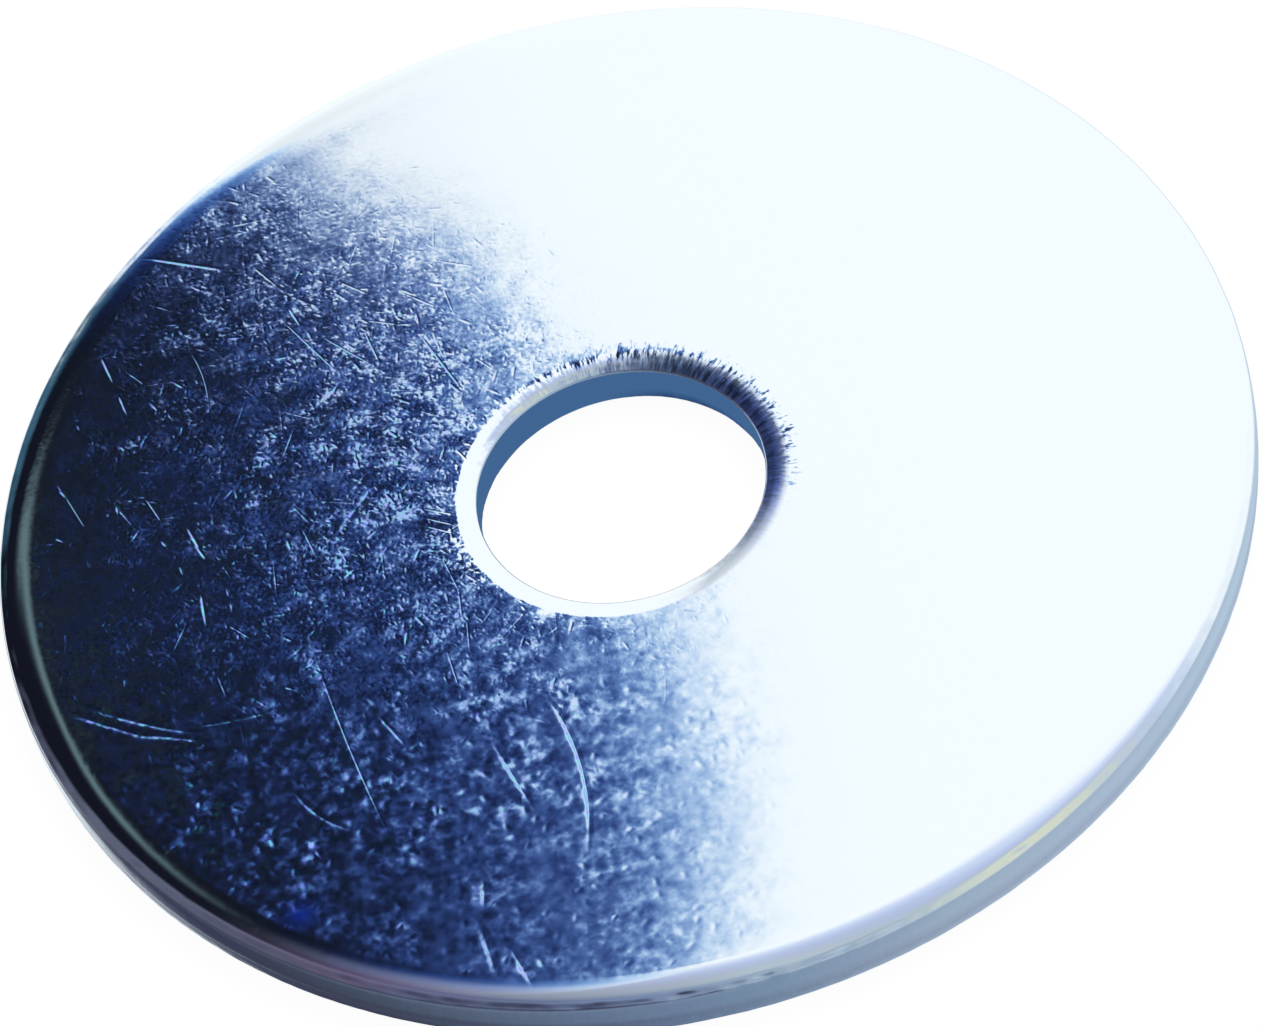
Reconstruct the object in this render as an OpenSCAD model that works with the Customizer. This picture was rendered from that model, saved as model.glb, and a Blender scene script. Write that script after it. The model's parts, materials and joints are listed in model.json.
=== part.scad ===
// Fender washer: one disc of strip steel, blanked and pierced in a single press stroke,
// tumbled and zinc plated. It lies on its bottom face, centred on the Z axis.
//
// Both edges are sheared from the top face down, so the rim and the bore carry the same four
// zones from top to bottom: a rolled shoulder where the sheet is drawn down, a burnished
// straight land, a torn zone that leans back into the metal, and a corner that tumbling rounds.

/* [Disc] */
// Diameter over the burnished land of the rim, one and a half inches
outer_d = 38.1; // [25:0.1:60]
// Diameter of the burnished land of the bore, eleven thirty-seconds of an inch
bore_d = 8.73; // [5:0.01:16]
// Thickness of the strip, sixteen gauge
thickness = 1.5; // [1.4:0.05:3]

/* [Rim edge] */
// Width of the rolled shoulder, seen from above
rim_roll_w = 1.08; // [0.6:0.01:1.2]
// Radius of the shoulder where it leaves the top face
rim_roll_r = 3.6; // [2.4:0.1:4.5]
// Height of the burnished land
rim_land_h = 0.6; // [0.4:0.01:0.7]
// How far the torn zone leans in by the bottom face
rim_tear = 0.06; // [0.02:0.01:0.12]

/* [Bore edge] */
// Width of the rolled shoulder, seen from above
bore_roll_w = 0.66; // [0.5:0.01:0.9]
// Radius of the shoulder where it leaves the top face
bore_roll_r = 2.1; // [1.4:0.1:3]
// Height of the burnished land
bore_land_h = 0.62; // [0.4:0.01:0.7]
// How far the torn zone opens out by the bottom face
bore_tear = 0.08; // [0.02:0.01:0.12]

/* [Corners] */
// Radius that blends a shoulder into its land
lip_r = 0.1; // [0.06:0.01:0.14]
// Radius that tumbling leaves on the bottom corners
tumbled_r = 0.15; // [0.05:0.01:0.2]

/* [Hidden] */
$fn = 128;
zinc = [0.80, 0.84, 0.90];
outer_r = outer_d / 2;
bore_r = bore_d / 2;
mid_r = (outer_r + bore_r) / 2;
// Each half of the section runs a little past the middle, so that the two halves overlap
half_overlap = 0.5;
// Each arc overruns its neighbours by this much, so that the edges cross and never just touch
overrun = 0.0001;
// Further than any point of the section lies from any other
far = outer_d + thickness;

// Height that two tangent arcs take to turn from level to upright over the width w:
// one of radius r at the top, then one of radius small
function roll_drop(w, r, small) = r - sqrt(pow(r - small, 2) - pow(w - small, 2));

// All of the plane but the sharp corner to the upper right of a disc: what lies left of
// left_of, what lies below low, and the disc itself, which bridges the two
module rounded(centre, r, left_of, low) {
    translate([-far, -far]) square([far + left_of, 2 * far]);
    translate([-far, -far]) square([2 * far, far + low]);
    translate(centre) circle(r = r);
}

// One sheared edge in section. Its land stands on x = 0, and the metal lies towards -x.
module sheared_edge(roll_w, roll_r, land_h, tear, depth) {
    land_top = thickness - roll_drop(roll_w, roll_r, lip_r);
    land_foot = land_top - land_h;

    // Rolled shoulder: a wide arc that leaves the top face, then a tight one onto the land
    roll_centre = [-roll_w, thickness - roll_r];
    lip_centre = [-lip_r, land_top];
    meet_angle = atan2(lip_centre.y - roll_centre.y, lip_centre.x - roll_centre.x);
    meet_dir = [cos(meet_angle), sin(meet_angle)];
    meet = lip_centre + lip_r * meet_dir;

    // Torn zone: it leans in from the foot of the land and is rounded into the bottom face
    lean = atan2(tear, land_foot);
    rounded_w = tumbled_r * tan((90 - lean) / 2);
    corner_centre = [-tear - rounded_w, tumbled_r];
    corner_top = rounded_w * cos(lean);

    intersection() {
        polygon([
            [-depth, 0],
            [-tear, 0],
            [0, land_foot],
            [0, thickness],
            [-depth, thickness],
        ]);
        rounded(roll_centre + [0, overrun], roll_r, roll_centre.x, roll_centre.y);
        rounded(lip_centre + overrun * meet_dir, lip_r, meet.x, land_top);
        mirror([0, 1])
            rounded([corner_centre.x + overrun, overrun - corner_centre.y], tumbled_r,
                corner_centre.x, -corner_top);
    }
}

// Half of the cut through the disc, to the right of its axis
module section() {
    translate([outer_r, 0])
        sheared_edge(rim_roll_w, rim_roll_r, rim_land_h, rim_tear, outer_r - mid_r + half_overlap);
    translate([bore_r, 0])
        mirror([1, 0])
            sheared_edge(bore_roll_w, bore_roll_r, bore_land_h, bore_tear, mid_r - bore_r + half_overlap);
}

// The whole disc is one stamping, so one turn of its section makes it
module washer() {
    color(zinc)
        rotate_extrude()
            section();
}

washer();
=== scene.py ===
# %% [markdown]
# A fender washer, seen close
#
# This lesson dresses one stamped washer. It is a disc of strip steel with a small bore, and two
# things make it look real: the edges that the press leaves, and a bright zinc finish that mirrors
# the studio. The washer is plain enough that both have to be right.

# %% Load the frame
import json
import math

import bpy
from mathutils import Matrix, Vector


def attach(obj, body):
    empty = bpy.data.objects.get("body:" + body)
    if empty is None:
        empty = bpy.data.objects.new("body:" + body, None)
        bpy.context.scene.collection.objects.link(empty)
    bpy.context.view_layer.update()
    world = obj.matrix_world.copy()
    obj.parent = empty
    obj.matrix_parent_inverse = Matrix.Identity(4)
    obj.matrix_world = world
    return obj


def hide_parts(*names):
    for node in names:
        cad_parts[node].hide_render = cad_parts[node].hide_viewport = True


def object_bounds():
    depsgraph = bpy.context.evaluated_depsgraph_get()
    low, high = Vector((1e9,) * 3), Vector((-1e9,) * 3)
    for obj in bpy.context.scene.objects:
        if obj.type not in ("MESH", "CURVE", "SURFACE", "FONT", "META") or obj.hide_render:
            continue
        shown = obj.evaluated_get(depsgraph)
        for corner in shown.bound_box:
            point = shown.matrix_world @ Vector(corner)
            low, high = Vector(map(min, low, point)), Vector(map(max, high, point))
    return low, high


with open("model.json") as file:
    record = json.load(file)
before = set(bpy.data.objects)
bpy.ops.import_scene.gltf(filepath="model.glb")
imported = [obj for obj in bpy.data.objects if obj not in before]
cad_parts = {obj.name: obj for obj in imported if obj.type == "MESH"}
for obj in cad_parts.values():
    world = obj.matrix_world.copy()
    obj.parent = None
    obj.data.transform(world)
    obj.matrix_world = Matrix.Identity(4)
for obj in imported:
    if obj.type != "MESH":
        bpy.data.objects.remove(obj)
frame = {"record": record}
cad_low, cad_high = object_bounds()
MM = 0.001
thickness = cad_high.z
print("frame", [round(v / MM, 3) for v in (*cad_low, *cad_high)], "mm")

# %% [markdown]
# The camera
#
# A washer that fills the picture from a hand's breadth away shows strong perspective, so the
# distance matters as much as the angle. The camera is described the way a photographer would: how
# high it looks from, how far it is rolled, how far away it stands, and where it aims.

# %% Set the camera
PHOTO_W = 1263
SENSOR_W = 36.0
FOCAL_PX = 8413.0
camera_height = math.radians(50.62)
camera_roll = math.radians(15.22)
camera_distance = 251.5 * MM
aim = Vector((0, 0, 1.26 * MM))
aim_right = -0.297 * MM
aim_up = 0.737 * MM


def camera_axes(height, roll):
    """Right, up and back of a camera that looks along +Y from above, rolled about its own axis."""
    level_right = Vector((1, 0, 0))
    level_up = Vector((0, math.sin(height), math.cos(height)))
    back = Vector((0, -math.cos(height), math.sin(height)))
    right = math.cos(roll) * level_right - math.sin(roll) * level_up
    up = math.sin(roll) * level_right + math.cos(roll) * level_up
    return right, up, back


right, up, back = camera_axes(camera_height, camera_roll)
camera_data = bpy.data.cameras.new("camera")
camera_data.sensor_width = SENSOR_W
camera_data.lens = FOCAL_PX / PHOTO_W * SENSOR_W
camera_data.clip_start = 0.01
camera = bpy.data.objects.new("camera", camera_data)
bpy.context.scene.collection.objects.link(camera)
place = aim - aim_right * right - aim_up * up + camera_distance * back
camera.matrix_world = Matrix.Translation(place) @ Matrix((right, up, back)).transposed().to_4x4()
bpy.context.scene.camera = camera
print("camera at", [round(v / MM, 1) for v in place], "mm, lens", round(camera_data.lens, 1), "mm")

# %% [markdown]
# The section of the disc
#
# A press blanks the washer out of strip and pierces it in one stroke. From the top face down, both
# edges show a shoulder that is rolled over as the metal is drawn down, a straight land that the
# tool burnishes, a torn zone where the metal breaks, and a corner that tumbling has rounded.
#
# The section could be a list of points. Here it is drawn as on paper, with a pen: one vertex is
# extruded along each straight and spun along each arc, so every radius is a true one.

# %% Sizes of the section
mounts = {m["name"]: m for m in frame["record"]["mounts"]}
bore_r = mounts["bore"]["dims"]["r_mm"] * MM
HAIR = 0.015 * MM  # how far inside the solid the rim stays, so that both boxes agree
rim_r = cad_high.x - HAIR
lip_r = 0.1 * MM
tumbled_r = 0.15 * MM
# Rolled shoulder, land and torn zone of each edge, and the steps along its shoulder
RIM = {"roll_w": 1.08 * MM, "roll_r": 3.6 * MM, "land_h": 0.6 * MM, "tear": 0.06 * MM, "steps": 20}
BORE = {"roll_w": 0.66 * MM, "roll_r": 2.1 * MM, "land_h": 0.62 * MM, "tear": 0.08 * MM, "steps": 18}
LEVEL_Y = (0, -1, 0)  # turning about it runs clockwise, as the outline does
# Steps along the other stretches of the outline
FACE_STEPS = 26
FOOT_STEPS = 12
LIP_STEPS = 10
LAND_STEPS = 4
TORN_STEPS = 7
CORNER_STEPS = 7


def edge_arcs(edge):
    """Angles and heights that join shoulder, lip, land and torn zone tangentially."""
    drop = edge["roll_r"] - math.sqrt((edge["roll_r"] - lip_r) ** 2 - (edge["roll_w"] - lip_r) ** 2)
    shoulder = math.asin((edge["roll_w"] - lip_r) / (edge["roll_r"] - lip_r))
    land_top = thickness - drop
    land_foot = land_top - edge["land_h"]
    lean = math.atan2(edge["tear"], land_foot)
    corner_w = tumbled_r * math.tan((math.pi / 2 - lean) / 2)
    return {"shoulder": shoulder, "land_top": land_top, "land_foot": land_foot, "lean": lean,
            "corner_w": corner_w, "corner_top": corner_w * math.cos(lean)}


rim_arcs, bore_arcs = edge_arcs(RIM), edge_arcs(BORE)
for name, arcs in (("rim", rim_arcs), ("bore", bore_arcs)):
    print(name, "shoulder turns", round(math.degrees(arcs["shoulder"]), 1), "degrees, land from",
          round(arcs["land_top"] / MM, 3), "to", round(arcs["land_foot"] / MM, 3), "mm")


# %% [markdown]
# A pen of one vertex
#
# Each straight and each arc is one stroke. The outline runs clockwise from the inner end of the top
# face: out over the rim, back along the bottom face, and up through the bore.

# %% Draw the section with one vertex
def pen_down(r, z):
    """Starts a mesh as a tiny plane and merges it to one vertex, the tip of the pen."""
    bpy.ops.object.select_all(action="DESELECT")
    bpy.ops.mesh.primitive_plane_add(size=MM, location=(0, 0, 0))
    bpy.ops.object.mode_set(mode="EDIT")
    bpy.ops.mesh.select_all(action="SELECT")
    bpy.ops.mesh.merge(type="CENTER")
    bpy.ops.transform.translate(value=(r, 0, z))
    return bpy.context.object


def tip(piece):
    """Where the pen is now."""
    piece.update_from_editmode()
    return next(v.co.copy() for v in piece.data.vertices if v.select)


def straight_to(piece, r, z, steps):
    """Extrudes the tip to r, z in equal steps."""
    start = tip(piece)
    step = (Vector((r, 0, z)) - start) / steps
    for _ in range(steps):
        bpy.ops.mesh.extrude_vertices_move(TRANSFORM_OT_translate={"value": step})


def arc(piece, centre_r, centre_z, angle, steps):
    """Spins the tip clockwise about a centre."""
    bpy.ops.mesh.spin(steps=steps, dupli=False, angle=angle, center=(centre_r, 0, centre_z),
                      axis=LEVEL_Y, use_auto_merge=False)


def edge_down(piece, at, edge, arcs):
    """Rolls over the rim from the top face and comes down to the bottom face."""
    arc(piece, at - edge["roll_w"], thickness - edge["roll_r"], arcs["shoulder"], edge["steps"])
    arc(piece, at - lip_r, arcs["land_top"], math.pi / 2 - arcs["shoulder"], LIP_STEPS)
    straight_to(piece, at, arcs["land_foot"], LAND_STEPS)
    corner_at = edge["tear"] * (1 - arcs["corner_top"] / arcs["land_foot"])
    straight_to(piece, at - corner_at, arcs["corner_top"], TORN_STEPS)
    arc(piece, at - edge["tear"] - arcs["corner_w"], tumbled_r, math.pi / 2 - arcs["lean"], CORNER_STEPS)


def edge_up(piece, at, edge, arcs):
    """Climbs the bore from the bottom face and rolls over to the top face."""
    arc(piece, at + edge["tear"] + arcs["corner_w"], tumbled_r, math.pi / 2 - arcs["lean"], CORNER_STEPS)
    straight_to(piece, at, arcs["land_foot"], TORN_STEPS)
    straight_to(piece, at, arcs["land_top"], LAND_STEPS)
    arc(piece, at + lip_r, arcs["land_top"], math.pi / 2 - arcs["shoulder"], LIP_STEPS)
    arc(piece, at + edge["roll_w"], thickness - edge["roll_r"], arcs["shoulder"], edge["steps"])


washer = pen_down(bore_r + BORE["roll_w"], thickness)
straight_to(washer, rim_r - RIM["roll_w"], thickness, FACE_STEPS)
edge_down(washer, rim_r, RIM, rim_arcs)
straight_to(washer, bore_r + BORE["tear"] + bore_arcs["corner_w"], 0, FOOT_STEPS)
edge_up(washer, bore_r, BORE, bore_arcs)
print("the pen ends at", [round(v / MM, 4) for v in tip(washer)], "mm, where it began")

# %% [markdown]
# One turn of the section
#
# The section goes once round the Z axis. A spin of so many steps takes half a minute, and the
# Screw modifier does the same in a moment, so it makes the turn and is then applied. It has 720
# steps, a sixth of a millimetre at the rim, because a mirror finish shows every flat. The seam is
# merged, and the normals are turned outwards, since a turn can leave a ring inside out.

# %% Turn the section
TURN_STEPS = 720
SEAM = 0.0002 * MM


def select_only(piece):
    """Leaves one piece selected and active."""
    bpy.ops.object.select_all(action="DESELECT")
    piece.select_set(True)
    bpy.context.view_layer.objects.active = piece


def apply_modifier(piece, name, kind, settings):
    """Puts a modifier on a piece and applies it at once."""
    select_only(piece)
    modifier = piece.modifiers.new(name, kind)
    for key, value in settings.items():
        setattr(modifier, key, value)
    bpy.ops.object.modifier_apply(modifier=name)


bpy.ops.mesh.select_all(action="SELECT")
bpy.ops.mesh.remove_doubles(threshold=SEAM)
bpy.ops.object.mode_set(mode="OBJECT")
apply_modifier(washer, "turn", "SCREW", {
    "axis": "Z", "angle": math.tau, "steps": TURN_STEPS, "render_steps": TURN_STEPS,
    "use_merge_vertices": True, "merge_threshold": SEAM})
bpy.ops.object.mode_set(mode="EDIT")
bpy.ops.mesh.select_all(action="SELECT")
bpy.ops.mesh.remove_doubles(threshold=SEAM)
bpy.ops.mesh.normals_make_consistent(inside=False)
bpy.ops.object.mode_set(mode="OBJECT")
bpy.ops.object.shade_smooth()
washer.name = washer.data.name = "zinc_washer"
print(len(washer.data.vertices), "points,", 2 * len(washer.data.polygons), "triangles")

# %% [markdown]
# What the press and the barrel leave
#
# A turned solid is too perfect. The strip came off a coil, so its face waves by a few thousandths
# of a millimetre, which a mirror finish shows at once. The torn zones are rough, and hours in a
# plating barrel have knocked small flats into every corner. Each is a Displace modifier with its
# own vertex group, applied to the mesh, so the roughness is real in the outline too.

# %% Roughen the zones
# Grain and depth of each roughness in mm
FACE_WAVE = (9, 0.006)
TORN_ZONES = (0.22, 0.02)
CORNER_DINGS = (0.7, 0.02)
WALL_REACH = 0.2 * MM
LAND_BLEND = 0.06 * MM


def rough(piece, name, weight_at, grain, depth):
    """Sinks the points that weight_at picks by a noise of that grain, and applies it."""
    group = piece.vertex_groups.new(name=name)
    count = 0
    for vertex in piece.data.vertices:
        weight = weight_at(math.hypot(vertex.co.x, vertex.co.y), vertex.co.z)
        if weight > 0:
            group.add([vertex.index], weight, "REPLACE")
            count += 1
    noise = bpy.data.textures.new(name, "CLOUDS")
    noise.noise_scale = grain * MM
    noise.noise_depth = 2
    apply_modifier(piece, name, "DISPLACE", {
        "texture": noise, "texture_coords": "LOCAL", "vertex_group": name,
        "strength": depth * MM, "mid_level": 1})
    print(name, "moves", count, "points by up to", depth, "mm")


def fade(value, start, end):
    """A smooth step from 0 at start to 1 at end."""
    t = min(max((value - start) / (end - start), 0), 1)
    return t * t * (3 - 2 * t)


def on_top_face(r, z):
    """The flat of the top face, fading out at both shoulders."""
    inner = fade(r, bore_r + 0.6 * MM, bore_r + 2 * MM)
    outer = 1 - fade(r, rim_r - 2.2 * MM, rim_r - 1 * MM)
    return inner * outer if z > thickness / 2 else 0


def on_torn_zones(r, z):
    """The torn zones of rim and bore, fading out at the land and at the corner."""
    for near, arcs in ((abs(r - rim_r), rim_arcs), (abs(r - bore_r), bore_arcs)):
        if near < WALL_REACH:
            return fade(z, 0, tumbled_r) * (1 - fade(z, arcs["land_foot"] - LAND_BLEND, arcs["land_foot"]))
    return 0


def on_corners(r, z):
    """The lips and the tumbled corners."""
    near = min(abs(r - rim_r), abs(r - bore_r))
    lip_height = fade(z, thickness - 0.4 * MM, thickness - 0.22 * MM)
    lip_width = 1 - fade(near, 0.12 * MM, 0.35 * MM)
    foot_height = (1 - fade(z, 0.1 * MM, 0.3 * MM)) * fade(z, 0, 0.02 * MM)
    foot_width = 1 - fade(near, 0.2 * MM, 0.3 * MM)
    return max(lip_height * lip_width, foot_height * foot_width)


rough(washer, "face_wave", on_top_face, *FACE_WAVE)
rough(washer, "torn_zones", on_torn_zones, *TORN_ZONES)
rough(washer, "corner_dings", on_corners, *CORNER_DINGS)

# %% [markdown]
# Small tools for the finish
#
# Every material below is a tree of nodes. One function adds a node with its settings and whatever
# is typed or linked into its sockets, and one turns a colour as a designer writes it, in sRGB hex,
# into the linear light that the nodes work in.

# %% Add nodes and colours
def linear(hex_colour):
    """An sRGB hex colour as linear red, green, blue and alpha."""
    parts = [int(hex_colour[i:i + 2], 16) / 255 for i in (1, 3, 5)]
    return (*[p / 12.92 if p <= 0.04045 else ((p + 0.055) / 1.055) ** 2.4 for p in parts], 1)


def add(tree, kind, sockets=(), out=0, **settings):
    """Adds a node and gives one of its outputs. Sockets go in order or by name, and each takes a
    number, a colour or the output that is linked to it."""
    node = tree.nodes.new("ShaderNode" + kind)
    for name, value in settings.items():
        if name == "stops":
            fill_ramp(node.color_ramp, value)
        elif name == "points":
            fill_curve(node.mapping, value)
        else:
            setattr(node, name, value)
    named = sockets if isinstance(sockets, dict) else dict(enumerate(sockets))
    for name, value in named.items():
        if isinstance(value, bpy.types.NodeSocket):
            tree.links.new(value, node.inputs[name])
        else:
            node.inputs[name].default_value = value
    return node.outputs[out] if node.outputs else None


def fill_ramp(ramp, stops):
    """Gives a colour ramp its stops, each a place and a hex colour."""
    while len(ramp.elements) < len(stops):
        ramp.elements.new(1)
    for element, (place, hex_colour) in zip(ramp.elements, stops):
        element.position = place
        element.color = linear(hex_colour)


def fill_curve(mapping, points):
    """Gives a float curve its points."""
    curve = mapping.curves[0]
    while len(curve.points) < len(points):
        curve.points.new(1, 1)
    for point, place in zip(curve.points, points):
        point.location = place
        point.handle_type = "AUTO_CLAMPED"
    mapping.update()


print("mid grey #808080 is", round(linear("#808080")[0], 3), "in linear light")

# %% [markdown]
# Bright zinc
#
# The steel is plated with about eight thousandths of a millimetre of zinc, in a barrel full of
# washers, and sealed with a clear blue passivate. Zinc is a metal with a cool, high reflectance, so
# it has almost no colour of its own: what the eye sees is the studio, mirrored and then broken up
# by thousands of tiny dings that the washers gave each other. The dings are dashes some tenths of a
# millimetre long and a few thousandths deep, far finer than any mesh.
#
# A Bump node could draw them from their depth. It has to read the depth three times to find the
# slope, and a mirror needs exact slopes. Each ding here is a formula whose slope is known, so the
# slope is worked out once and leans the normal by that much. All the leans add up in one vector.
#
# A noise texture alone can't draw dashes. A Voronoi texture splits the face into cells and gives
# each cell a centre and random numbers, which is enough to place one dash there, turned at random.

# %% Scatter dings
zinc = bpy.data.materials.new("bright_barrel_zinc_blue_passivate")
zinc.use_nodes = True
tree = zinc.node_tree
tree.nodes.clear()
bore_mm = bore_r / MM
rim_mm = rim_r / MM
at = add(tree, "TexCoord", out="Object")
in_mm = add(tree, "VectorMath", {0: at, "Scale": 1 / MM}, operation="SCALE")
flat = add(tree, "VectorMath", (in_mm, (1, 1, 0)), operation="MULTIPLY")
# Each kind of ding has its cells moved by this many of them, so that no two kinds line up
MOVED_X, MOVED_Y = 71, 37


def dings(lean, cell, length, width, depth, share, rare):
    """Adds dashes to the lean of the normal, turned at random, one to a cell in a share of the
    cells. The more rare the deep ones are to be, the higher the power that their depth is raised to."""
    moved = add(tree, "VectorMath", (flat, (cell * MOVED_X, cell * MOVED_Y, 0)), operation="ADD")
    cells = add(tree, "TexVoronoi", {"Vector": moved, "Scale": 1 / cell}, voronoi_dimensions="2D").node
    chance = add(tree, "SeparateColor", (cells.outputs["Color"],)).node.outputs
    away = add(tree, "VectorMath", (moved, cells.outputs["Position"]), operation="SUBTRACT")
    angle = add(tree, "Math", (chance[0], math.tau), operation="MULTIPLY")
    turned = add(tree, "VectorRotate", {"Vector": away, "Angle": angle}, rotation_type="Z_AXIS")
    scaled = add(tree, "VectorMath", (turned, (1 / length, 1 / width, 0)), operation="MULTIPLY")
    square = add(tree, "VectorMath", (scaled, scaled), out="Value", operation="DOT_PRODUCT")
    bell = add(tree, "Math", (1 / math.e, square), operation="POWER")
    picked = add(tree, "MapRange", {"Value": chance[1], "From Min": 1 - share})
    picked = add(tree, "Math", (picked, rare), operation="POWER")
    amount = add(tree, "Math", (bell, picked), operation="MULTIPLY")
    falls = (-2 * depth / length, -2 * depth / width, 0)
    slope = add(tree, "VectorMath", (scaled, falls), operation="MULTIPLY")
    slope = add(tree, "VectorRotate", {"Vector": slope, "Angle": angle}, rotation_type="Z_AXIS",
                invert=True)
    return add(tree, "VectorMath", (slope, amount, lean), operation="MULTIPLY_ADD")


# cell, length, width and depth in mm, the share of cells that have one, and how rare deep ones are
DING_KINDS = {
    "specks": (0.16, 0.065, 0.042, 0.0009, 0.95, 1.6),
    "ticks": (0.26, 0.10, 0.040, 0.0014, 0.85, 2.2),
    "dashes": (0.60, 0.17, 0.040, 0.0030, 0.6, 3.0),
    "scores": (1.30, 0.50, 0.026, 0.0014, 0.8, 1.4),
}
# Three grains of plain roughness: their size in mm, and how wide they swing the normal
GRAINS = {
    "fine": (0.17, math.radians(2.3)),
    "coarse": (0.7, math.radians(2.2)),
    "slow": (1.6, math.radians(0.9)),
}
NOISE_MEAN = (0.5, 0.5, 0.5)


def grains(lean, size, reach):
    """Adds plain roughness to the lean of the normal."""
    grain = add(tree, "TexNoise", {"Vector": flat, "Scale": 1 / size, "Detail": 2.0, "Roughness": 0.5},
                out="Color", noise_dimensions="2D")
    grain = add(tree, "VectorMath", (grain, NOISE_MEAN), operation="SUBTRACT")
    return add(tree, "VectorMath", (grain, (reach, reach, 0), lean), operation="MULTIPLY_ADD")


lean = (0, 0, 0)
for name, sizes in GRAINS.items():
    lean = grains(lean, *sizes)
for name, sizes in DING_KINDS.items():
    lean = dings(lean, *sizes)
    steepest = math.degrees(math.sqrt(2 / math.e) * sizes[3] / sizes[2])
    print(name, "one to", sizes[0], "mm, steepest", round(steepest, 1), "degrees")

# %% [markdown]
# Softer knocks near the lens
#
# The photo is sharp about the hole and soft where the washer comes near the lens. Depth of field
# could do that, but a part for a library is dressed sharp. So on the nearest part of the face a
# softer grain takes over from the dings. It is drawn coarser than the real one.

# %% Soften the nearest knocks
SOFT_GRAINS = {"close": (0.32, math.radians(2.5)), "wide": (0.7, math.radians(2.3))}
# Soft dabs, in the same numbers as a kind of ding
DABS = (0.42, 0.15, 0.09, 0.0024, 0.85, 1.8)
SOFT_FROM_Y, SOFT_TO_Y, SOFTEST = -2, -9, 0.92
# The dark side needs deeper knocks to catch the window, so they grow from one x to the other
DEEPER_FROM_X, DEEPER_TO_X, DEEPEST = -7, -14, 2.3
place = add(tree, "SeparateXYZ", (in_mm,)).node.outputs
near_lens = add(tree, "MapRange", {"Value": place[1], "From Min": SOFT_FROM_Y, "From Max": SOFT_TO_Y,
                                   "To Max": SOFTEST})
soft = (0, 0, 0)
for name, sizes in SOFT_GRAINS.items():
    soft = grains(soft, *sizes)
soft = dings(soft, *DABS)
further_left = add(tree, "MapRange", {"Value": place[0], "From Min": DEEPER_FROM_X,
                                      "From Max": DEEPER_TO_X, "To Min": 1, "To Max": DEEPEST})
soft = add(tree, "VectorMath", (soft, further_left), operation="MULTIPLY")
lean = add(tree, "Mix", {0: near_lens, 4: lean, 5: soft}, out=1, data_type="VECTOR")
print("soft grains", list(SOFT_GRAINS), "take over from y =", SOFT_FROM_Y, "to", SOFT_TO_Y, "mm")

# %% [markdown]
# Where the dings are
#
# Knocks come in clouds, so a slow noise thins the dings and crowds them. The right half of the face
# is pure glare in the photo and shows hardly a mark, so only a trace of wear is drawn there. The
# real one may well be dinged all over.

# %% Spread the wear
# The wear fades between two lines. Above the axis they bow to the left, by BOW times y squared
BOW = 0.028
WORN_TO_X, FRESH_FROM_X, FRESH = -6.5, 1.2, 0.15
BUSIEST = (-4.5, -1, 0)
BUSY_R, CALM_R, BUSY, CALM = 4, 15, 1.25, 0.48
CLOUD_MM, THIN, CROWDED = 1.9, 0.6, 1.4
# The shoulder of the rim keeps few dings on the near side and most on the far side
NEAR_Y, FAR_Y, NEAR_KEPT, FAR_KEPT = 2, 8, 0.12, 0.8
upper = add(tree, "Math", (place[1], 0), operation="MAXIMUM")
upper = add(tree, "Math", (upper, upper), operation="MULTIPLY")
beside = add(tree, "Math", (upper, BOW, place[0]), operation="MULTIPLY_ADD")
worn = add(tree, "MapRange", {"Value": beside, "From Min": WORN_TO_X, "From Max": FRESH_FROM_X,
                              "To Min": 1, "To Max": FRESH}, interpolation_type="SMOOTHSTEP")
from_busiest = add(tree, "VectorMath", (flat, BUSIEST), out="Value", operation="DISTANCE")
calmer = add(tree, "MapRange", {"Value": from_busiest, "From Min": BUSY_R, "From Max": CALM_R,
                                "To Min": BUSY, "To Max": CALM})
worn = add(tree, "Math", (worn, calmer), operation="MULTIPLY")
clouds = add(tree, "TexNoise", {"Vector": flat, "Scale": 1 / CLOUD_MM, "Detail": 2.0},
             noise_dimensions="2D")
crowd = add(tree, "MapRange", {"Value": clouds, "From Min": 0.3, "From Max": 0.7, "To Min": THIN,
                               "To Max": CROWDED})
worn = add(tree, "Math", (worn, crowd), operation="MULTIPLY")
radius = add(tree, "VectorMath", (flat,), out="Value", operation="LENGTH")
on_shoulder = add(tree, "MapRange", {"Value": place[1], "From Min": NEAR_Y, "From Max": FAR_Y,
                                     "To Min": NEAR_KEPT, "To Max": FAR_KEPT})
on_face = add(tree, "MapRange", {"Value": radius, "From Min": rim_mm - 0.8, "From Max": rim_mm - 1.3,
                                 "To Min": on_shoulder}, interpolation_type="SMOOTHSTEP")
worn = add(tree, "Math", (worn, on_face), operation="MULTIPLY")
lean = add(tree, "VectorMath", (lean, worn), operation="MULTIPLY")
print("wear falls from", BUSY, "within", BUSY_R, "mm of", BUSIEST[:2], "to", round(FRESH * CALM, 2))

# %% [markdown]
# Scratches with a place of their own
#
# A few marks are big enough to be known by place. Each is a groove between two points, straight or
# bowed, given in millimetres from the axis. With a 1 as the third number of every point of the face,
# one dot product measures how far along a groove the point is, and another how far beside it.

# %% Draw the scratches
face_point = add(tree, "VectorMath", (in_mm, (1, 1, 0), (0, 0, 1)), operation="MULTIPLY_ADD")
DRAWN_OUT = -0.08  # the lowest that the profile of a groove falls on its drawn out flank
PATCH_MM, FAINT, STRONG = 0.22, 0.65, 1.05


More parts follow.
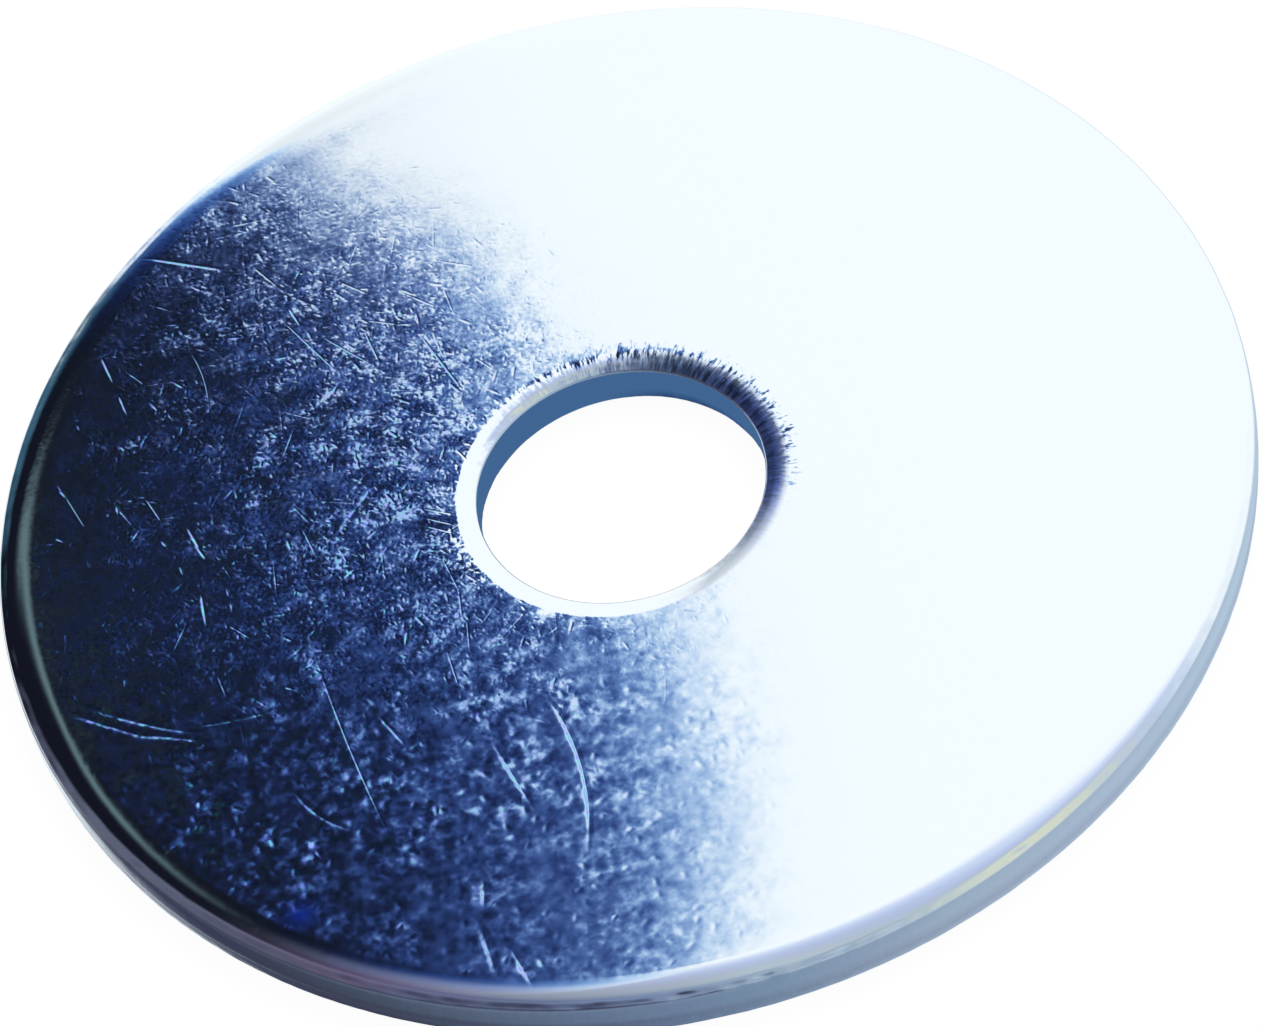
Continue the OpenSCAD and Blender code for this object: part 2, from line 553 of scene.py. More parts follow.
def groove(lean, start, end, width, depth, bow=0.0):
    """Adds one groove to the lean of the normal. It runs from start to end and bows to its left. What
    made it threw the metal up, so the flank that faces left is drawn out and hardly leans."""
    along = (Vector(end) - Vector(start)) / 2
    left = Vector((-along.y, along.x)).normalized()
    if left.x > 0:
        left, bow = -left, -bow
    middle = (Vector(start) + Vector(end)) / 2 + left * bow
    run = along / along.length_squared
    side = left / width
    t = add(tree, "VectorMath", (face_point, (*run, -middle.dot(run))), out="Value",
            operation="DOT_PRODUCT")
    d = add(tree, "VectorMath", (face_point, (*side, -middle.dot(side))), out="Value",
            operation="DOT_PRODUCT")
    t = add(tree, "Math", (t, t), operation="MULTIPLY")
    if bow:
        d = add(tree, "Math", (t, bow / width, d), operation="MULTIPLY_ADD")
    t = add(tree, "Math", (t, t), operation="MULTIPLY")
    square = add(tree, "Math", (d, d, t), operation="MULTIPLY_ADD")
    bell = add(tree, "Math", (1 / math.e, square), operation="POWER")
    slope = add(tree, "Math", (bell, d), operation="MULTIPLY")
    slope = add(tree, "Math", (slope, DRAWN_OUT), operation="MAXIMUM")
    falls = (*(left * -2 * depth / width), 0)
    return add(tree, "VectorMath", (slope, falls, lean), operation="MULTIPLY_ADD")


# start, end, width, depth and bow in mm
SCRATCHES = [
    ((-12.3, 13.7), (-10.4, 12.6), 0.045, 0.0036),
    ((-16.45, 5.7), (-16.3, 5.2), 0.04, 0.0024),
    ((-16.3, 5.2), (-15.95, 3.9), 0.014, 0.0015),
    ((-14.3, 10.1), (-14.15, 9.2), 0.035, 0.003),
    ((-14.05, 8.5), (-13.95, 7.8), 0.03, 0.003),
    ((-13.9, 4.15), (-13.65, 3.3), 0.02, 0.002),
    ((-12.9, 2.75), (-12.7, 1.9), 0.045, 0.004),
    ((-12.75, 1.9), (-12.6, 1.45), 0.035, 0.0035),
    ((-12.95, 0.0), (-13.0, -1.05), 0.045, 0.0045),
    ((-13.0, -3.15), (-12.9, -3.9), 0.025, 0.0016),
    ((-8.35, 10.05), (-8.2, 9.45), 0.03, 0.003),
    ((-8.5, 9.4), (-7.55, 7.45), 0.018, 0.0018),
    ((-7.45, 8.5), (-6.5, 7.3), 0.018, 0.0018),
    ((-4.55, 7.3), (-4.0, 5.6), 0.025, 0.0025),
    ((-11.6, 9.4), (-11.45, 7.3), 0.018, 0.0009, 0.1),
    ((-8.4, 1.1), (-6.95, 2.5), 0.09, 0.004, 0.05),
    ((-5.8, 1.0), (-5.15, 0.6), 0.022, 0.002),
    ((-5.85, 0.65), (-5.2, 0.2), 0.022, 0.002),
    ((-5.9, 0.35), (-5.2, -0.15), 0.022, 0.002),
    ((-17.4, -3.1), (-15.6, -4.5), 0.10, 0.0055),
    ((-15.7, -4.45), (-13.8, -5.35), 0.10, 0.0052, 0.05),
    ((-16.9, -3.0), (-13.9, -5.0), 0.09, 0.0046, -0.10),
    ((-14.0, -4.7), (-11.75, -4.9), 0.07, 0.0034, -0.05),
    ((-10.0, -4.1), (-9.3, -9.7), 0.028, 0.0014, -0.06),
    ((-11.5, -8.2), (-10.35, -9.85), 0.07, 0.0032, -0.14),
    ((-8.6, -6.25), (-8.15, -7.3), 0.05, 0.0022),
    ((-5.5, -8.55), (-4.95, -10.75), 0.07, 0.0024),
    ((-3.55, -7.65), (-3.5, -12.3), 0.07, 0.0028, 0.28),
    ((-6.8, -13.0), (-6.95, -13.9), 0.10, 0.0026),
    ((-7.2, -14.7), (-7.1, -16.3), 0.11, 0.0029),
    ((-6.5, -15.7), (-6.2, -17.0), 0.08, 0.0020),
    ((1.05, 5.30), (0.89, 4.86), 0.08, 0.006),
    ((0.89, 4.90), (1.13, 4.46), 0.08, 0.006),
]
scratched = (0, 0, 0)
for sizes in SCRATCHES:
    scratched = groove(scratched, *sizes)
patchy = add(tree, "TexNoise", {"Vector": flat, "Scale": 1 / PATCH_MM, "Detail": 1.0},
             noise_dimensions="2D")
patchy = add(tree, "MapRange", {"Value": patchy, "From Min": 0.3, "From Max": 0.6, "To Min": FAINT,
                                "To Max": STRONG})
lean = add(tree, "VectorMath", (scratched, patchy, lean), operation="MULTIPLY_ADD")
dinged = lean
longest = max(math.dist(start, end) for start, end, *_ in SCRATCHES)
print(len(SCRATCHES), "scratches, the longest", round(longest, 1), "mm")

# %% [markdown]
# A drip mark
#
# A deep blue spot on the lower left looks like the place where the last drop of passivate dried and
# left a thicker film. It is drawn as a small bulge in the film that leans towards the light.

# %% Leave a drip mark
SPOT_AT, SPOT_R = (-12.21, -12.48, 0), 0.5
SPOT_LEAN = (math.radians(0.8), 0, 0)
spot = add(tree, "VectorMath", (flat, SPOT_AT), out="Value", operation="DISTANCE")
spot = add(tree, "Math", (spot, 1 / SPOT_R), operation="MULTIPLY")
spot = add(tree, "Math", (spot, spot), operation="MULTIPLY")
spot = add(tree, "Math", (1 / math.e, spot), operation="POWER")
evened = add(tree, "Math", (1, spot), operation="SUBTRACT")
lean = add(tree, "VectorMath", (lean, evened), operation="MULTIPLY")
lean = add(tree, "VectorMath", (SPOT_LEAN, spot, lean), operation="MULTIPLY_ADD")
print("a deep blue spot", 2 * SPOT_R, "mm wide at", SPOT_AT[:2])

# %% [markdown]
# The sheared edges
#
# The punch drags the metal as it passes, so the shoulder of the bore is streaked outwards, and both
# lands and torn zones are streaked from top to bottom. A noise that is read in stretched
# coordinates gives such streaks: round the axis it is fine, and along the drag it is long. A wave
# texture could draw them too, but then they would all be alike.

# %% Find the streaks and the zones
STREAK_W = 0.09
STREAK_L = 0.5
outward = add(tree, "VectorMath", (flat,), operation="NORMALIZE")
sideways = add(tree, "VectorMath", (outward, (0, 0, 1)), operation="CROSS_PRODUCT")
outer = add(tree, "Math", (radius, (bore_r + rim_r) / 2 / MM), operation="GREATER_THAN")
turns = add(tree, "Math", (outer, (rim_r - bore_r) / MM / STREAK_W, bore_r / MM / STREAK_W),
            operation="MULTIPLY_ADD")
around = add(tree, "VectorMath", {0: outward, "Scale": turns}, operation="SCALE")
drag = add(tree, "Math", (radius, place[2]), operation="SUBTRACT")
drag = add(tree, "Math", (drag, 1 / STREAK_L), operation="MULTIPLY")
streak_at = add(tree, "VectorMath", (around, add(tree, "CombineXYZ", {"Z": drag})), operation="ADD")
streaks = add(tree, "TexNoise", {"Vector": streak_at, "Scale": 1.0, "Detail": 3.0, "Roughness": 0.68},
              out="Color")
streak = add(tree, "SeparateColor", (streaks,)).node.outputs
swing = add(tree, "VectorMath", (streaks, NOISE_MEAN), operation="SUBTRACT")
swing = add(tree, "SeparateXYZ", (swing,)).node.outputs
at_rim_wall = add(tree, "MapRange", {"Value": radius, "From Min": rim_mm - 0.1, "From Max": rim_mm - 0.03})
at_bore_wall = add(tree, "MapRange", {"Value": radius, "From Min": bore_mm + 0.09,
                                      "From Max": bore_mm + 0.03})
at_wall = add(tree, "Math", (at_rim_wall, at_bore_wall), operation="MAXIMUM")
off_wall = add(tree, "Math", (1, at_wall), operation="SUBTRACT")
print("streaks are", STREAK_W, "mm wide and about", STREAK_L, "mm long")

# %% [markdown]
# The galled side of the bore
#
# The photo shows one side of the bore far rougher, as a punch a hair off centre would leave it. There
# the shoulder is torn into fibres, which fray out onto the face. Each fibre sinks towards the hole,
# so it mirrors the dark flag and not the window. Between them the zinc is duller, and streaks of
# painted shade darken its colour.
# Patches of metal are pulled further out than others, so the fringe is ragged.
#
# The fibres could be modelled, but at a tenth of a millimetre they are finer than the mesh.

# %% Streak the edges
GALLED_TOWARDS = math.radians(55)
FRAY_MM, FRAY_PATCH_MM = 1.1, 0.8  # how far streaks and patches move the end of a fibre
SUNK, SUNK_ALL_ROUND = math.radians(-2.1), math.radians(-0.3)  # lean of a fibre towards the hole
FLATTENED = math.radians(5.5)  # lean away from the hole where the shoulder is dull but has no fibres
PULLED_OUT, PULLED_ASIDE = 14, 22  # degrees that torn metal swings from one side to the other
RIPPLE = math.radians(8)  # how wide the streaks on the walls swing the normal
galled = add(tree, "VectorMath", (outward, (math.cos(GALLED_TOWARDS), math.sin(GALLED_TOWARDS), 0)),
             out="Value", operation="DOT_PRODUCT")
galled = add(tree, "MapRange", {"Value": galled, "From Min": 0, "From Max": 0.6},
             interpolation_type="SMOOTHSTEP")
frayed = add(tree, "Math", (streak[1], -FRAY_MM, radius), operation="MULTIPLY_ADD")
frayed = add(tree, "Math", (patchy, -FRAY_PATCH_MM, frayed), operation="MULTIPLY_ADD")
facing = add(tree, "SeparateXYZ", (outward,)).node.outputs
dulled = add(tree, "MapRange", {"Value": radius, "From Min": bore_mm + 0.75, "From Max": bore_mm + 0.45})
to_right = add(tree, "MapRange", {"Value": facing[0], "From Min": 0, "From Max": 0.6},
               interpolation_type="SMOOTHSTEP")
dulled = add(tree, "Math", (dulled, to_right), operation="MULTIPLY")
dulled = add(tree, "Math", (dulled, off_wall), operation="MULTIPLY")
near_bore = add(tree, "MapRange", {"Value": frayed, "From Min": bore_mm - 0.1, "From Max": bore_mm - 0.6},
                interpolation_type="SMOOTHSTEP")
hairs = add(tree, "MapRange", {"Value": streak[0], "From Min": 0.4, "From Max": 0.68})
sink = add(tree, "Math", (galled, SUNK, SUNK_ALL_ROUND), operation="MULTIPLY_ADD")
sink = add(tree, "Math", (sink, hairs), operation="MULTIPLY")
sink = add(tree, "Math", (sink, near_bore), operation="MULTIPLY")
flatter = add(tree, "Math", (1, galled), operation="SUBTRACT")
flatter = add(tree, "Math", (flatter, dulled), operation="MULTIPLY")
sink = add(tree, "Math", (flatter, FLATTENED, sink), operation="MULTIPLY_ADD")
lean = add(tree, "VectorMath", (outward, sink, lean), operation="MULTIPLY_ADD")
torn_up = add(tree, "MapRange", {"Value": radius, "From Min": bore_mm + 0.85, "From Max": bore_mm + 0.5},
              interpolation_type="SMOOTHSTEP")
torn_up = add(tree, "Math", (torn_up, galled), operation="MULTIPLY")
torn_up = add(tree, "Math", (torn_up, off_wall), operation="MULTIPLY")
for direction, amount, degrees in ((outward, swing[1], PULLED_OUT), (sideways, swing[2], PULLED_ASIDE)):
    pull = add(tree, "Math", (amount, math.radians(degrees)), operation="MULTIPLY")
    pull = add(tree, "Math", (pull, torn_up), operation="MULTIPLY")
    lean = add(tree, "VectorMath", (direction, pull, lean), operation="MULTIPLY_ADD")
lean = add(tree, "VectorMath", (lean, off_wall), operation="MULTIPLY")
ripple = add(tree, "Math", (swing[0], at_wall), operation="MULTIPLY")
ripple = add(tree, "Math", (ripple, RIPPLE), operation="MULTIPLY")
lean = add(tree, "VectorMath", (sideways, ripple, lean), operation="MULTIPLY_ADD")
print("the bore is galled towards", round(math.degrees(GALLED_TOWARDS)), "degrees")

# %% [markdown]
# Colour and gloss
#
# The finish is bright barrel zinc under a clear blue passivate. To the eye it is a cool mirror. The
# film is so thin that it shows faint interference colours, pale cyan here and pale violet there, and
# most where a ding tilts it. On the lands it is brushed, and on the torn zone of the rim it is matt,
# with a darker grey that is painted shade at the foot of the wall. On the galled side of the bore
# the fringe is tinted blue and teal, and darkened in streaks as painted shade between the fibres.
#
# A clear coat could carry the film, but it would add a second reflection that real zinc lacks. So
# the tint lies in the base colour of the metal, which is the colour of its reflections.

# %% Colour and finish the zinc
ZINC = linear("#ebf4f9")
FILM_CYAN, FILM_VIOLET = linear("#80cce8"), linear("#9aaaf8")
DRIP_BLUE = linear("#7a94f4")
FRINGE_BLUE, FRINGE_TEAL = linear("#90acff"), linear("#86a4c6")
# A darker grey for the foot of the rim wall: painted shade
SHADED_FOOT_GREY = linear("#dae0e9")
# Roughness of the face, and what dings, brushed walls, the galled side and torn zones add to it
FACE, DINGED, BRUSHED, GALLED, TORN = 0.05, 0.04, 0.12, 0.24, 0.12
HUE_MM = 0.24
steep = add(tree, "VectorMath", (dinged,), out="Value", operation="LENGTH")
blued = add(tree, "MapRange", {"Value": steep, "From Min": math.radians(0.3),
                               "From Max": math.radians(1.5)})
far = add(tree, "MapRange", {"Value": radius, "From Min": bore_mm + 0.8, "From Max": bore_mm + 1.5})
blued = add(tree, "Math", (blued, far), operation="MULTIPLY")
hues = add(tree, "TexNoise", {"Vector": flat, "Scale": 1 / HUE_MM, "Detail": 1.0}, noise_dimensions="2D")
warmer = add(tree, "MapRange", {"Value": hues, "From Min": 0.36, "From Max": 0.64})
tint = add(tree, "Mix", {0: warmer, 6: FILM_CYAN, 7: FILM_VIOLET}, out=2, data_type="RGBA")
skin = add(tree, "Mix", {0: blued, 6: ZINC, 7: tint}, out=2, data_type="RGBA")
skin = add(tree, "Mix", {0: spot, 6: skin, 7: DRIP_BLUE}, out=2, data_type="RGBA")
at_top = add(tree, "MapRange", {"Value": facing[1], "From Min": 0.3, "From Max": 0.8})
fringe_tint_and_shade = add(tree, "Mix", {0: at_top, 6: FRINGE_BLUE, 7: FRINGE_TEAL}, out=2, data_type="RGBA")
# Streaks darken the fringe colour to as little as 0.3 of itself: painted shade between the fibres
fibre_shade = add(tree, "MapRange", {"Value": streak[2], "From Min": 0.36, "From Max": 0.6, "To Min": 0.3})
fringe_tint_and_shade = add(tree, "VectorMath", {0: fringe_tint_and_shade, "Scale": fibre_shade}, operation="SCALE")
shaded = add(tree, "MapRange", {"Value": facing[1], "From Min": -0.8, "From Max": -0.35})
shaded = add(tree, "Math", (shaded, dulled), operation="MULTIPLY")
skin = add(tree, "Mix", {0: shaded, 6: skin, 7: fringe_tint_and_shade}, out=2, data_type="RGBA")
# The foot of the rim wall turns a darker grey, which is painted shade
foot = rim_arcs["land_foot"] / MM
is_torn = add(tree, "MapRange", {"Value": place[2], "From Min": foot + 0.2, "From Max": foot - 0.1})
is_torn = add(tree, "Math", (is_torn, at_rim_wall), operation="MULTIPLY")
skin = add(tree, "Mix", {0: is_torn, 6: skin, 7: SHADED_FOOT_GREY}, out=2, data_type="RGBA")
gloss = add(tree, "Math", (at_wall, BRUSHED, FACE), operation="MULTIPLY_ADD")
gloss = add(tree, "Math", (blued, DINGED, gloss), operation="MULTIPLY_ADD")
gloss = add(tree, "Math", (dulled, GALLED, gloss), operation="MULTIPLY_ADD")
gloss = add(tree, "Math", (is_torn, TORN, gloss), operation="MULTIPLY_ADD")
normal = add(tree, "VectorMath", (add(tree, "NewGeometry", out="Normal"), lean), operation="ADD")
normal = add(tree, "VectorMath", (normal,), operation="NORMALIZE")
metal = add(tree, "BsdfPrincipled", {"Base Color": skin, "Metallic": 1.0, "Roughness": gloss,
                                     "Normal": normal})
add(tree, "OutputMaterial", {"Surface": metal})
washer.data.materials.clear()
washer.data.materials.append(zinc)
print(len(tree.nodes), "nodes in", zinc.name)

# %% [markdown]
# The studio
#
# A mirror shows its surroundings, so the studio is part of the finish. To the camera and to matt
# surfaces it is plain white. To the zinc it is a photographer's corner: one large window of white
# behind and to the right, a dark flag to the left of it, and soft greys elsewhere.

# %% Find the way a ray looks
world = bpy.data.worlds.new("studio")
world.use_nodes = True
bpy.context.scene.world = world
tree = world.node_tree
tree.nodes.clear()
PER_DEGREE = math.pi / 180
way = add(tree, "SeparateXYZ", (add(tree, "TexCoord", out="Generated"),)).node.outputs
azimuth = add(tree, "Math", (way[0], way[1]), operation="ARCTAN2")
azimuth = add(tree, "Math", (azimuth, PER_DEGREE), operation="DIVIDE")
rise = add(tree, "Math", (way[2],), operation="ARCSINE")
rise = add(tree, "Math", (rise, PER_DEGREE), operation="DIVIDE")
print(world.name, "is painted by azimuth and rise, with the far side ahead at azimuth 0")

# %% [markdown]
# The walls of the studio
#
# The window fills the wall ahead up to about 56 degrees. Its top climbs from left to right, and
# dips again at the right-hand corner. Above it the ceiling is pale lilac that greys towards the
# top. The wall to the left is a dim violet grey. Behind the camera and below the table the light only
# comes from the side, so those directions take a colour for how far round they lie, from dark on
# the left to pale on the right.
#
# An image of a real studio would be simpler, but a colour ramp can be moved by a degree.

# %% Paint the walls of the studio
# Colours by rise in degrees
AHEAD = [(0, "#ffffff"), (56, "#ffffff"), (58.5, "#edf0fb"), (60, "#d7dff3"), (61.5, "#d0d8f0"),
         (64, "#c1c8e6"), (68, "#b9c0da"), (72, "#b9c0cc"), (76, "#bbc4cc"), (82, "#9caabc"),
         (90, "#9cabbc")]
LEFT = [(0, "#58596e"), (58, "#58596e"), (66, "#6a5a76"), (70, "#676687"), (75, "#68728f"), (79, "#7885a8"),
        (90, "#8390a8")]
# Colours by degrees round, from FIRST_SEEN degrees left of ahead and on by way of the back
BEYOND = [(0, "#373850"), (20, "#3f4054"), (40, "#474f62"), (70, "#606c83"), (94, "#70809a"),
          (110, "#7b8ea6"), (150, "#a2b0c2"), (190, "#b0bdcf"), (230, "#b6c7d8"), (270, "#b6c7d8"),
          (292, "#eef5f9"), (322, "#e4edf3"), (345, "#54566a"), (360, "#373850")]
FIRST_SEEN = 70
QUARTER, WHOLE = 90, 360


def as_shares(stops, most):
    """Stops given in degrees, as shares of the most degrees."""
    return [(degrees / most, colour) for degrees, colour in stops]


window_top = add(tree, "MapRange", {"Value": azimuth, "From Min": -20, "From Max": 20, "To Min": 5,
                                    "To Max": -5})
window_corner = add(tree, "MapRange", {"Value": azimuth, "From Min": 28, "From Max": 50, "To Max": 6})
height = add(tree, "Math", (rise, window_top), operation="ADD")
height = add(tree, "Math", (height, window_corner), operation="ADD")
height = add(tree, "Math", (height, 1 / QUARTER), operation="MULTIPLY")
ahead = add(tree, "ValToRGB", (height,), stops=as_shares(AHEAD, QUARTER))
level = add(tree, "Math", (rise, 1 / QUARTER), operation="MULTIPLY")
left_wall = add(tree, "ValToRGB", (level,), stops=as_shares(LEFT, QUARTER))
round_from_left = add(tree, "Math", (azimuth, -1 / WHOLE, -FIRST_SEEN / WHOLE), operation="MULTIPLY_ADD")
round_from_left = add(tree, "Math", (round_from_left,), operation="FRACT")
beyond = add(tree, "ValToRGB", (round_from_left,), stops=as_shares(BEYOND, WHOLE))
to_left = add(tree, "MapRange", {"Value": azimuth, "From Min": 0, "From Max": -35})
not_low = add(tree, "MapRange", {"Value": rise, "From Min": 20, "From Max": 36})
to_left = add(tree, "Math", (to_left, not_low), operation="MULTIPLY")
studio = add(tree, "Mix", {0: to_left, 6: ahead, 7: left_wall}, out=2, data_type="RGBA")
turned_away = add(tree, "Math", (azimuth,), operation="ABSOLUTE")
to_back = add(tree, "MapRange", {"Value": turned_away, "From Min": 40, "From Max": 85},
              interpolation_type="SMOOTHSTEP")
below = add(tree, "MapRange", {"Value": rise, "From Min": 0, "From Max": -12})
to_back = add(tree, "Math", (to_back, below), operation="MAXIMUM")
studio = add(tree, "Mix", {0: to_back, 6: studio, 7: beyond}, out=2, data_type="RGBA")
print("walls with", len(AHEAD) + len(LEFT) + len(BEYOND), "colours")

# %% [markdown]
# A warm corner
#
# Up to the right the ceiling catches some yellow light. It glints along the lip of the rim.

# %% Warm a corner
WARM_AT, WARM_W = (64, 72, 0), (16, 7, 1)
direction = add(tree, "CombineXYZ", (azimuth, rise))
off_warm = add(tree, "VectorMath", (direction, WARM_AT), operation="SUBTRACT")
off_warm = add(tree, "VectorMath", (off_warm, WARM_W), operation="DIVIDE")
off_warm = add(tree, "VectorMath", (off_warm, off_warm), out="Value", operation="DOT_PRODUCT")
warm = add(tree, "Math", (1 / math.e, off_warm), operation="POWER")
studio = add(tree, "Mix", {0: warm, 6: studio, 7: linear("#dcdcc6")}, out=2, data_type="RGBA")
print("warm corner at azimuth and elevation", WARM_AT[:2])

# %% [markdown]
# The flag
#
# To the left of the window hangs a dark flag, and the washer shows its edge from top to bottom. The
# edge isn't straight, as the strip waves a little. It is given as an azimuth for each elevation,
# fitted to where the border runs in the photo, and so is how sharp it looks: the light falls off
# within a few degrees at the height that the face mirrors, and far more slowly above and below.

# %% Hang the flag
FLAG_EDGE = [(0, -14), (20, -11), (28, -9.5), (36.5, -6), (45, -3.2), (47.5, -2.3), (48.6, -0.7),
             (49.4, -0.26), (51.3, 0.53), (52.3, 0.55), (53.7, 0), (55, -1), (57, -1.6), (60, -2.4),
             (63, -5), (66, -10), (69, -25), (72, -45), (90, -60)]
EDGE_LOW, EDGE_SPAN = -60, 70
SHARPNESS = [(0, 0.2), (20, 0.28), (28, 0.5), (36, 0.7), (45, 1.3), (47, 2.2), (50.5, 1), (54, 1),
             (57, 0.6), (60, 0.33), (66, 0.16), (90, 0.16)]
SHARPEST = 2.5
# Colours by degrees behind the edge, at sharpness 1
DARKENING = [(0, "#ffffff"), (0.25, "#d3e6fb"), (0.6, "#a2c2e8"), (1.1, "#6087c4"), (2.0, "#345090"),
             (3.2, "#21366c"), (4.7, "#151f40"), (7.0, "#0f1522"), (12, "#11131f")]
PENUMBRA = 12


def edge_points(places):
    """Azimuths given for rises, as points of a curve from 0 to 1."""
    return [(height / QUARTER, (turn - EDGE_LOW) / EDGE_SPAN) for height, turn in places]


sharp_points = [(height / QUARTER, sharpness / SHARPEST) for height, sharpness in SHARPNESS]
edge = add(tree, "FloatCurve", {"Value": level}, points=edge_points(FLAG_EDGE))
edge = add(tree, "Math", (edge, EDGE_SPAN, EDGE_LOW), operation="MULTIPLY_ADD")
behind = add(tree, "Math", (edge, azimuth), operation="SUBTRACT")
sharp = add(tree, "FloatCurve", {"Value": level}, points=sharp_points)
depth_in = add(tree, "Math", (behind, sharp), operation="MULTIPLY")
depth_in = add(tree, "Math", (depth_in, SHARPEST / PENUMBRA), operation="MULTIPLY")
flag = add(tree, "ValToRGB", (depth_in,), stops=as_shares(DARKENING, PENUMBRA))
lit_foot = add(tree, "MapRange", {"Value": rise, "From Min": 34, "From Max": 26})
flag = add(tree, "Mix", {0: lit_foot, 6: flag, 7: linear("#3c5f74")}, out=2, data_type="RGBA",
           blend_type="LIGHTEN")
flagged = add(tree, "MapRange", {"Value": behind, "From Min": 0, "From Max": 0.05})
below_top = add(tree, "MapRange", {"Value": rise, "From Min": 70, "From Max": 58},
                interpolation_type="SMOOTHSTEP")
above_foot = add(tree, "MapRange", {"Value": rise, "From Min": 15, "From Max": 24})
inside = add(tree, "MapRange", {"Value": azimuth, "From Min": -48, "From Max": -37},
             interpolation_type="SMOOTHSTEP")
for limit in (below_top, above_foot, inside):
    flagged = add(tree, "Math", (flagged, limit), operation="MULTIPLY")
studio = add(tree, "Mix", {0: flagged, 6: studio, 7: flag}, out=2, data_type="RGBA")
print("flag edge given at", len(FLAG_EDGE), "elevations")

# %% [markdown]
# A slit in the flag
#
# A little grey light leaks past the flag on its far side. The rim shows it as a pale line that runs
# round the lower left. Its azimuth is given for each elevation.

# %% Light a slit in the flag
SLIT = [(40, -20), (44, -18), (46.3, -15), (48.9, -13.2), (50.3, -12.6), (51.6, -15.5), (53.5, -18.7),
        (56.6, -22), (60, -26), (64, -32)]
SLIT_W = 3.5
slit = add(tree, "FloatCurve", {"Value": level}, points=edge_points(SLIT))
slit = add(tree, "Math", (slit, EDGE_SPAN, EDGE_LOW), operation="MULTIPLY_ADD")
slit = add(tree, "Math", (azimuth, slit), operation="SUBTRACT")
slit = add(tree, "Math", (slit, 1 / SLIT_W), operation="MULTIPLY")
slit = add(tree, "Math", (slit, slit), operation="MULTIPLY")
slit = add(tree, "Math", (1 / math.e, slit), operation="POWER")
for start, end in ((41, 45), (59, 53)):
    end_mask = add(tree, "MapRange", {"Value": rise, "From Min": start, "From Max": end})
    slit = add(tree, "Math", (slit, end_mask), operation="MULTIPLY")
studio = add(tree, "Mix", {0: slit, 6: studio, 7: linear("#62767c")}, out=2, data_type="RGBA")
print("slit", SLIT_W, "degrees wide, given at", len(SLIT), "elevations")

# %% [markdown]
# Two worlds in one
#
# The studio is for the zinc alone. Rays from the camera, and the soft light on the paper, see plain
# white. The Light Path node tells the rays apart. Two sets of lamps could do it, but not so evenly.

# %% Show the studio to reflections alone
STUDIO_LIGHT = 1.08
ray = add(tree, "LightPath").node.outputs
mirrored = add(tree, "Math", (ray["Is Glossy Ray"], ray["Is Transmission Ray"]), operation="MAXIMUM")
plain = add(tree, "Background", {"Color": linear("#ffffff"), "Strength": 1.0})
seen = add(tree, "Background", {"Color": studio, "Strength": STUDIO_LIGHT})
mixed = add(tree, "MixShader", (mirrored, plain, seen))
add(tree, "OutputWorld", {"Surface": mixed})
print("studio made of", len(tree.nodes), "nodes")

# %% [markdown]
# The floor
#
# The floor is white paper, bright enough by itself to be a white background, and matt enough to
# keep the soft shadow that the washer throws. The zinc doesn't see it, since the studio above
# already says what is below.

# %% Lay the floor
FLOOR_W = 1.2
UNDER = 0.01 * MM  # the gap that keeps the washer and its floor apart
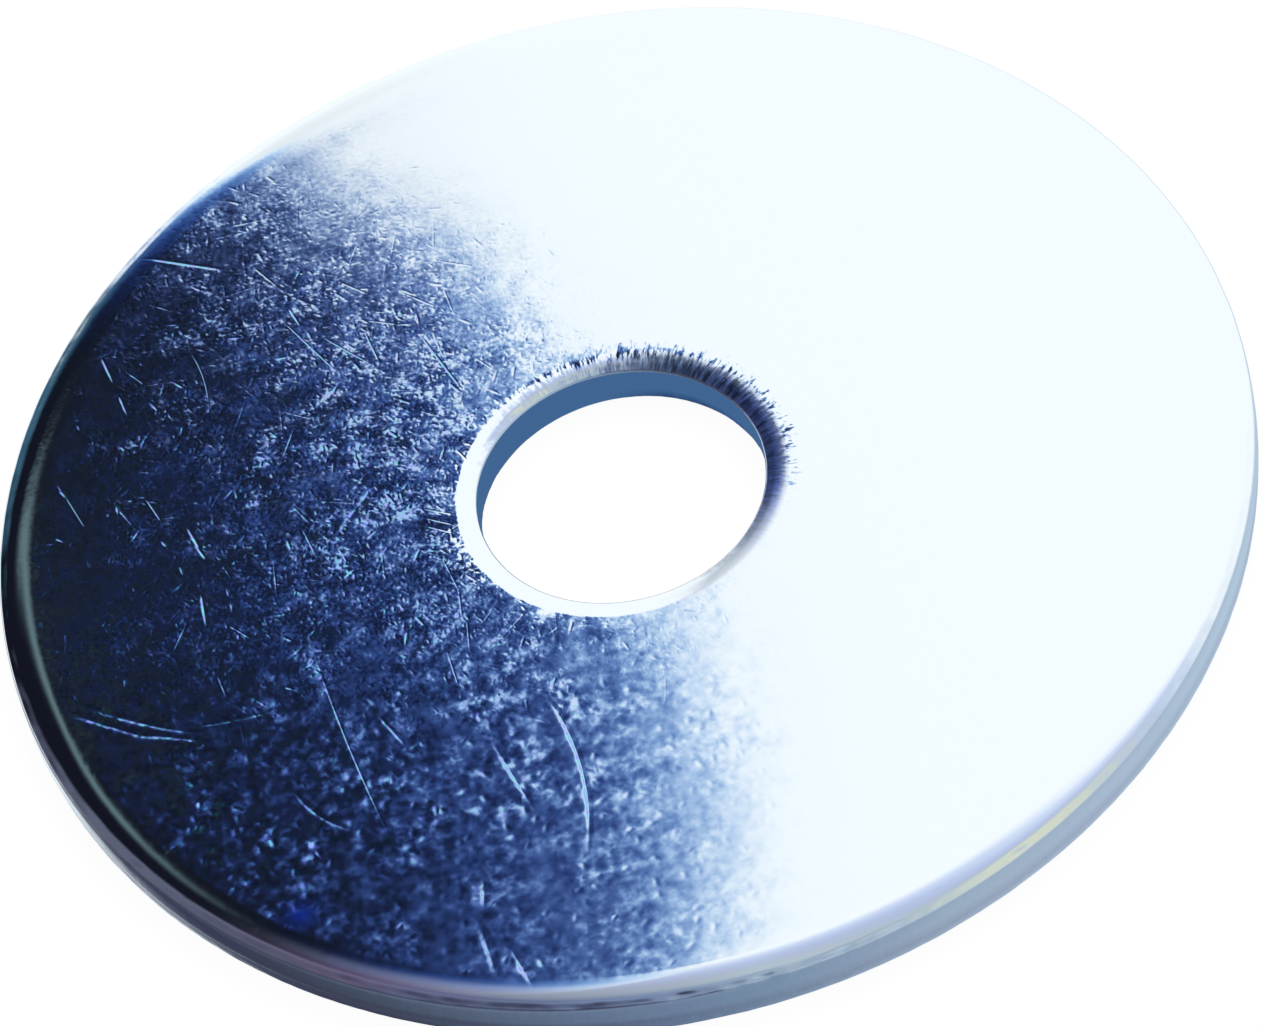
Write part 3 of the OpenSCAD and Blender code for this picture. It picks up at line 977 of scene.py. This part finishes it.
# The part of the paper's white that a shadow can take away, and the part that it can't
SHADED = (0.06, 0.06, 0.06, 1)
GLOW = 0.94
bpy.ops.object.select_all(action="DESELECT")
bpy.ops.mesh.primitive_plane_add(size=FLOOR_W, location=(0, 0, -UNDER))
floor = bpy.context.object
floor.name = "floor"
paper = bpy.data.materials.new("white_paper")
paper.use_nodes = True
tree = paper.node_tree
tree.nodes.clear()
matt = add(tree, "BsdfDiffuse", {"Color": SHADED})
glow = add(tree, "Emission", {"Color": (1, 1, 1, 1), "Strength": GLOW})
add(tree, "OutputMaterial", {"Surface": add(tree, "AddShader", (matt, glow))})
floor.data.materials.append(paper)
floor.visible_glossy = False
print("floor", round(floor.dimensions.x, 2), "m wide")

# %% [markdown]
# A blue card of painted shade in the hole
#
# The wall of the bore looks down at the table that it shades, and picks up a blue from it. A card
# lies in the hole for that: it glows a dim blue that paints the table's shade. Only reflections see it,
# so the floor in the hole stays white.

# %% Lay the card of painted shade in the hole
SHADE_CARD_R = bore_r + 0.1 * MM
bpy.ops.object.select_all(action="DESELECT")
bpy.ops.mesh.primitive_circle_add(vertices=64, radius=SHADE_CARD_R, fill_type="NGON", location=(0, 0, UNDER))
shade_card = bpy.context.object
shade_card.name = "painted_shade_card"
painted_shade_paper = bpy.data.materials.new("painted_shade_paper")
painted_shade_paper.use_nodes = True
tree = painted_shade_paper.node_tree
tree.nodes.clear()
# The card glows as painted shade of the table, and only reflections see it
shade_glow = add(tree, "Emission", {"Color": linear("#466a96"), "Strength": 1.0})
add(tree, "OutputMaterial", {"Surface": shade_glow})
shade_card.data.materials.append(painted_shade_paper)
shade_card.visible_camera = shade_card.visible_diffuse = shade_card.visible_shadow = False
print("shade_card", round(shade_card.dimensions.x / MM, 2), "mm wide")

# %% [markdown]
# One soft lamp
#
# A weak lamp above and behind gives the shadow on the paper its direction. The zinc doesn't see it,
# as it would add a spot to the mirror.

# %% Hang the lamp
lamp_data = bpy.data.lights.new("lamp", "AREA")
lamp_data.size = 0.3
lamp_data.energy = 1.0
lamp = bpy.data.objects.new("lamp", lamp_data)
bpy.context.scene.collection.objects.link(lamp)
lamp_place = Vector((0.12, 0.2, 0.4))
turn = lamp_place.to_track_quat("Z", "Y").to_matrix().to_4x4()
lamp.matrix_world = Matrix.Translation(lamp_place) @ turn
lamp.visible_glossy = False
bpy.context.scene.view_settings.view_transform = "Standard"
print("lamp", lamp_data.size, "m wide,", lamp_data.energy, "W")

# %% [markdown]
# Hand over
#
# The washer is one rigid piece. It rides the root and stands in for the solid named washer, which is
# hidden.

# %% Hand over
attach(washer, "root")
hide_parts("washer")
